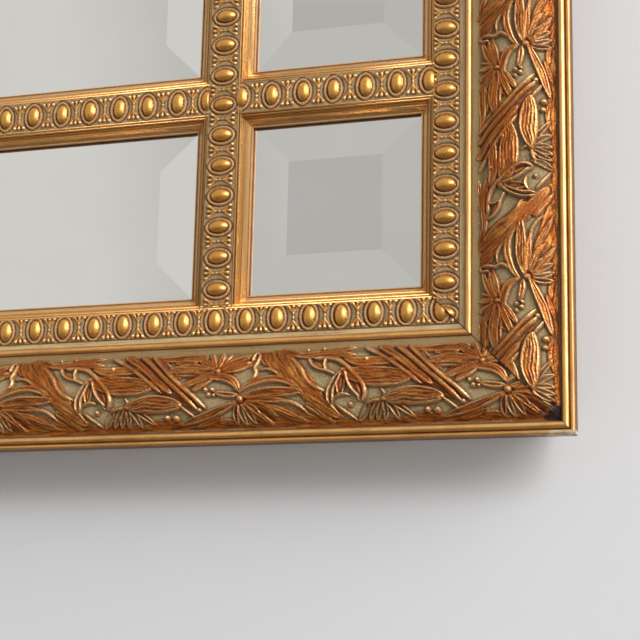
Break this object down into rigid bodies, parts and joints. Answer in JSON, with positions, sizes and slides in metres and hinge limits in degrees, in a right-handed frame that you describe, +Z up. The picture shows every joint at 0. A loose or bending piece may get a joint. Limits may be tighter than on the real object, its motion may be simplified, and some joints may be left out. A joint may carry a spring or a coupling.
{
  "type": "beveled mirror",
  "caption": "Upright wall mirror: beveled panes in a grid of egg-moulded muntins, inside a wide gilded frame with a raised leaf ornament, on ring hangers.",
  "frame": {"origin": "middle of the mirror's outline, on the plane of the wall that the four bumpers touch", "axes": "+X to the right seen from the front, +Y into the wall, +Z up; the glass faces -Y"},
  "size_m": [0.762, 0.0414, 1.016],
  "materials": {
    "gilded_wood": "antique gilding over wood, rubbed through to brown, sage-grey in the hollows",
    "gilded_ornament": "antique gilding over pressed composition, dark in the undercuts",
    "mirror_glass": "clear silvered glass with a polished bevel",
    "guard_paper": "plain uncoated sheet",
    "hardboard": "smooth brown hardboard",
    "bright_steel": "bright rolled steel",
    "plated_steel": "zinc plated steel",
    "bumper_rubber": "matt black rubber"
  },
  "bodies": {
    "mirror": {"rail_top": "gilded_wood", "rail_bottom": "gilded_wood", "rail_left": "gilded_wood", "rail_right": "gilded_wood", "leaf_band_top": "gilded_ornament", "leaf_band_bottom": "gilded_ornament", "leaf_band_left": "gilded_ornament", "leaf_band_right": "gilded_ornament", "liner_top": "gilded_wood", "liner_bottom": "gilded_wood", "liner_left": "gilded_wood", "liner_right": "gilded_wood", "muntin_left": "gilded_wood", "muntin_right": "gilded_wood", "muntin_upper_left": "gilded_wood", "muntin_upper_middle": "gilded_wood", "muntin_upper_right": "gilded_wood", "muntin_lower_left": "gilded_wood", "muntin_lower_middle": "gilded_wood", "muntin_lower_right": "gilded_wood", "pane_top_left": "mirror_glass", "pane_top": "mirror_glass", "pane_top_right": "mirror_glass", "pane_left": "mirror_glass", "pane_centre": "mirror_glass", "pane_right": "mirror_glass", "pane_bottom_left": "mirror_glass", "pane_bottom": "mirror_glass", "pane_bottom_right": "mirror_glass", "guard_sheet": "guard_paper", "backing_board": "hardboard", "framer_points": "bright_steel", "mitre_nails": "bright_steel", "hanger_plate_left": "plated_steel", "hanger_plate_right": "plated_steel", "hanger_screws": "plated_steel", "wall_bumpers": "bumper_rubber"},
    "left_ring": {"hanger_ring_left": "plated_steel"},
    "right_ring": {"hanger_ring_right": "plated_steel"}
  },
  "joints": [
    {"name": "left_ring_hinge", "type": "hinge", "parent": "mirror", "child": "left_ring", "pos_m": [-0.351, -0.0034, 0.254], "axis": [1, 0, 0], "range_deg": [0, 180]},
    {"name": "right_ring_hinge", "type": "hinge", "parent": "mirror", "child": "right_ring", "pos_m": [0.351, -0.0034, 0.254], "axis": [1, 0, 0], "range_deg": [0, 180]}
  ]
}
